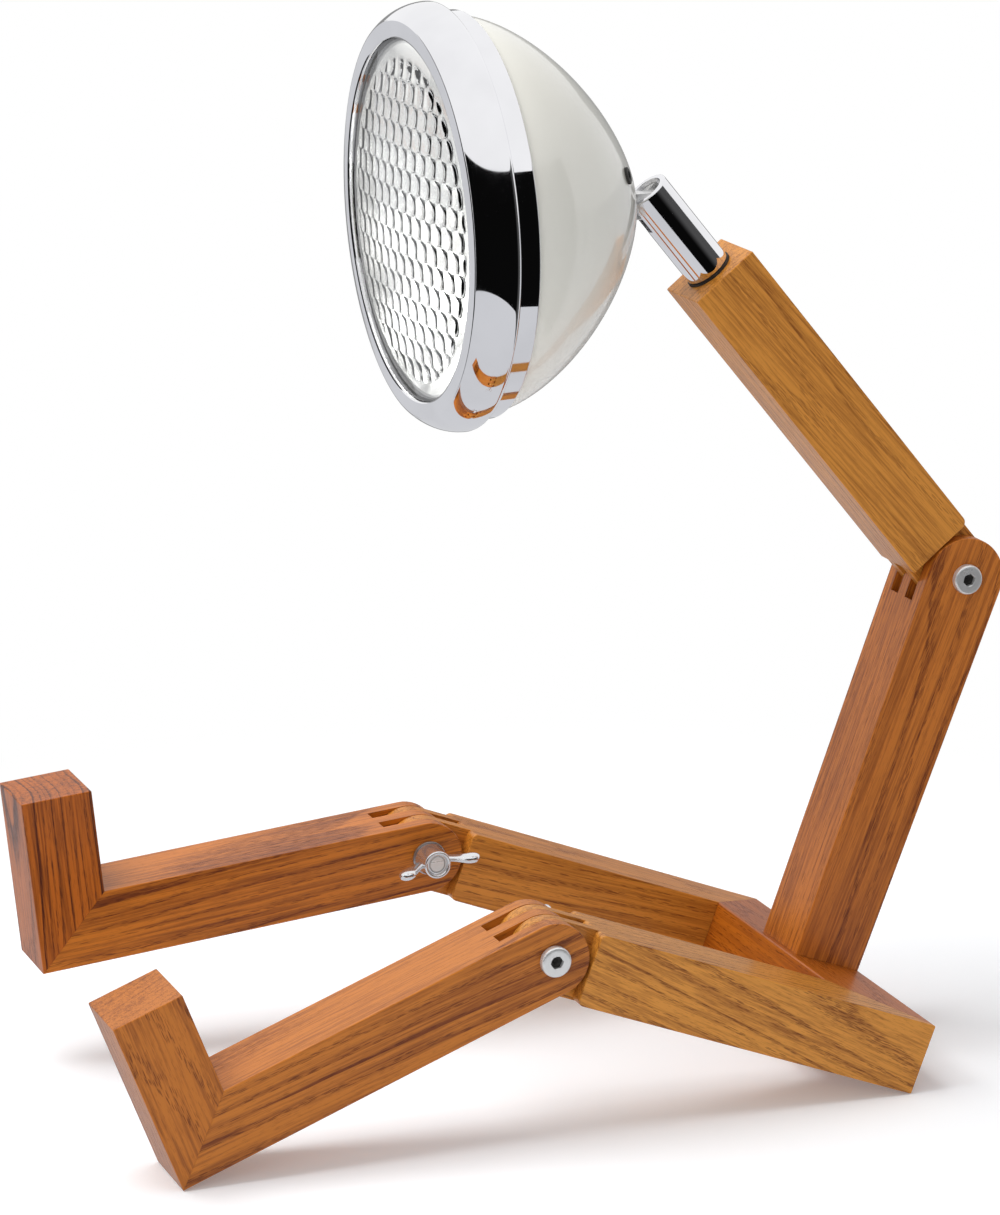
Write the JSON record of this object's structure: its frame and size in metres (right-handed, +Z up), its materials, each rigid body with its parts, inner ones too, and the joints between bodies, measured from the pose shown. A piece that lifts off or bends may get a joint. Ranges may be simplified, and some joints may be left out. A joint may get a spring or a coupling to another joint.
{
  "type": "jointed figure desk lamp",
  "caption": "Desk lamp in the form of a seated wooden figure with comb-jointed knees and elbow, and a round headlamp with domed glass as its head on a swivelling neck.",
  "frame": {"origin": "on the table under the middle of the lamp's bounding box, in the seated pose of the picture", "axes": "+Z up, the figure faces -X, +Y towards its right side"},
  "size_m": [0.3421, 0.1602, 0.3699],
  "materials": {
    "timber": "oiled, satin",
    "dowel_wood": "raw",
    "chrome": "polished",
    "steel": "zinc plated",
    "brass": "machined",
    "ivory_paint": "gloss enamel",
    "glass": "pressed, clear",
    "rubber": "matt",
    "reflector_metal": "polished",
    "ceramic": "glazed",
    "lamp_plastic": "moulded",
    "opal_plastic": "frosted"
  },
  "bodies": {
    "hip_frame": {"pelvis": "timber", "left_thigh": "timber", "right_thigh": "timber", "hip_dowels": "dowel_wood", "torso": "timber", "torso_dowels": "dowel_wood", "elbow_bolt": "chrome", "elbow_washer": "steel"},
    "left_lower_leg": {"left_shin": "timber", "left_foot": "timber", "left_heel_dowels": "dowel_wood", "left_knee_bolt": "chrome", "left_knee_washer": "steel"},
    "right_lower_leg": {"right_shin": "timber", "right_foot": "timber", "right_heel_dowels": "dowel_wood", "right_knee_bolt": "chrome", "right_knee_washer": "steel"},
    "left_knee_nut": {"left_wing_nut": "chrome"},
    "right_knee_nut": {"right_wing_nut": "chrome"},
    "elbow_nut": {"elbow_wing_nut": "chrome"},
    "forearm": {"arm": "timber", "arm_insert": "brass", "neck_stud": "steel", "neck_washer": "rubber"},
    "neck": {"neck_tube": "chrome", "neck_fork": "chrome", "tilt_pin": "steel"},
    "head": {"head_bracket": "steel", "head_shell": "ivory_paint", "cord_grommet": "rubber", "head_rim": "chrome", "lens": "glass", "lens_gasket": "rubber", "reflector": "reflector_metal", "reflector_clips": "steel", "lamp_holder": "ceramic", "lamp_base": "lamp_plastic", "lamp_globe": "opal_plastic"}
  },
  "joints": [
    {"name": "left_knee", "type": "hinge", "parent": "hip_frame", "child": "left_lower_leg", "pos_m": [-0.02047, -0.0625, 0.06289], "axis": [0, 1, 0], "range_deg": [-47.9, 132.1]},
    {"name": "right_knee", "type": "hinge", "parent": "hip_frame", "child": "right_lower_leg", "pos_m": [-0.02047, 0.0625, 0.06289], "axis": [0, 1, 0], "range_deg": [-63.4, 116.6]},
    {"name": "elbow", "type": "hinge", "parent": "hip_frame", "child": "forearm", "pos_m": [0.15676, 0, 0.16196], "axis": [0, 1, 0], "range_deg": [-30, 150]},
    {"name": "neck_swivel", "type": "hinge", "parent": "forearm", "child": "neck", "pos_m": [0.06525, 0, 0.27496], "axis": [-0.6293, 0, 0.7771], "range_deg": [-170, 170]},
    {"name": "head_tilt", "type": "hinge", "parent": "neck", "child": "head", "pos_m": [0.04637, 0, 0.29827], "axis": [0, 1, 0], "range_deg": [-45, 50]},
    {"name": "left_knee_nut_turn", "type": "hinge", "parent": "left_lower_leg", "child": "left_knee_nut", "pos_m": [-0.02047, -0.0465, 0.06289], "axis": [0, 1, 0], "range_deg": [0, 360]},
    {"name": "right_knee_nut_turn", "type": "hinge", "parent": "right_lower_leg", "child": "right_knee_nut", "pos_m": [-0.02047, 0.0465, 0.06289], "axis": [0, -1, 0], "range_deg": [0, 360]},
    {"name": "elbow_nut_turn", "type": "hinge", "parent": "hip_frame", "child": "elbow_nut", "pos_m": [0.15676, 0.0155, 0.16196], "axis": [0, 1, 0], "range_deg": [0, 360]}
  ]
}
